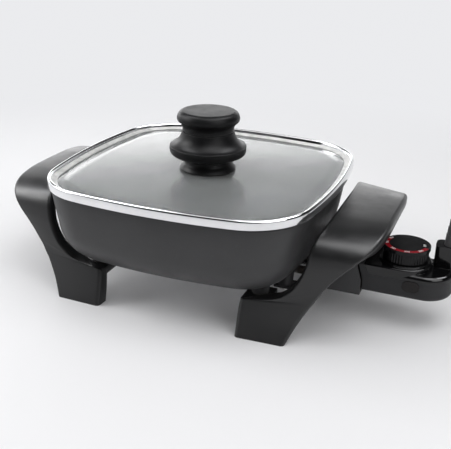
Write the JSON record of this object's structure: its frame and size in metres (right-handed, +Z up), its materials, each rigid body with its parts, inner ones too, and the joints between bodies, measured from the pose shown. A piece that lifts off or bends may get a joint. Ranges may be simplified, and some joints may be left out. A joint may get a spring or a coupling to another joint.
{
  "type": "electric skillet",
  "caption": "Small square electric skillet with arched leg-handles, a framed glass lid with a turned knob, and a plug-in heat control with its cord.",
  "frame": {"origin": "centre of the underside of the box round the skillet and its heat control, on the floor; the free cord, its strain relief and plug aren't counted", "axes": "+Z up, -Y the front, +X towards the heat control"},
  "size_m": [0.4636, 0.267, 0.1512],
  "materials": {
    "nonstick_aluminium": "satin",
    "bare_aluminium": "matte",
    "element_sheath": "satin",
    "pin_steel": "satin",
    "ceramic": "matte",
    "handle_plastic": "satin",
    "guard_plastic": "matte",
    "zinc_screw": "satin",
    "polished_steel": "polished",
    "silicone": "matte",
    "tempered_glass": "clear",
    "knob_plastic": "satin",
    "brass": "satin",
    "control_matte_plastic": "matte",
    "control_gloss_plastic": "gloss",
    "block_resin": "matte",
    "spring_copper": "satin",
    "silver_contact": "satin",
    "dial_plastic": "gloss",
    "dial_print": "gloss",
    "red_lens": "gloss",
    "neon_glass": "clear",
    "wire_sleeve": "matte",
    "cord_rubber": "matte",
    "relief_rubber": "matte",
    "blade_brass": "polished"
  },
  "bodies": {
    "pan_assembly": {"pan": "nonstick_aluminium", "heat_spreader": "bare_aluminium", "heating_element": "element_sheath", "terminal_pins": "pin_steel", "terminal_bushes": "ceramic", "handle_left": "handle_plastic", "handle_right": "handle_plastic", "handle_screws": "zinc_screw", "heat_washers": "ceramic", "socket_guard": "guard_plastic", "guard_screws": "zinc_screw"},
    "lid": {"lid_rim": "polished_steel", "lid_seal": "silicone", "lid_glass": "tempered_glass", "knob_foot": "knob_plastic", "knob": "knob_plastic", "knob_insert": "brass", "knob_screw": "zinc_screw", "knob_washer": "zinc_screw", "knob_seal": "silicone"},
    "control": {"lower_housing": "control_matte_plastic", "upper_housing": "control_gloss_plastic", "dial_bezel": "control_gloss_plastic", "terminal_block": "block_resin", "female_terminals": "brass", "sensing_rod": "pin_steel", "thermostat_frame": "zinc_screw", "bimetal_blade": "spring_copper", "contact_arm": "spring_copper", "contacts": "silver_contact", "shaft_bushing": "brass", "indicator_lens": "red_lens", "indicator_lamp": "neon_glass", "housing_screws": "zinc_screw", "lead_wires": "wire_sleeve", "strain_relief": "relief_rubber", "cord": "cord_rubber", "cord_coil": "cord_rubber", "cord_tie": "cord_rubber", "plug_body": "cord_rubber", "plug_blades": "blade_brass"},
    "dial_assembly": {"dial": "dial_plastic", "dial_plate": "dial_print", "dial_shaft": "pin_steel"}
  },
  "joints": [
    {"name": "lid_lift", "type": "slide", "parent": "pan_assembly", "child": "lid", "axis": [0, 0, 1], "range_m": [0, 0.12]},
    {"name": "control_pull", "type": "slide", "parent": "pan_assembly", "child": "control", "axis": [1, 0, 0], "range_m": [0, 0.12]},
    {"name": "dial_turn", "type": "hinge", "parent": "control", "child": "dial_assembly", "pos_m": [0.13639, 0, 0.053], "axis": [0, 0, -1], "range_deg": [0, 220]}
  ]
}
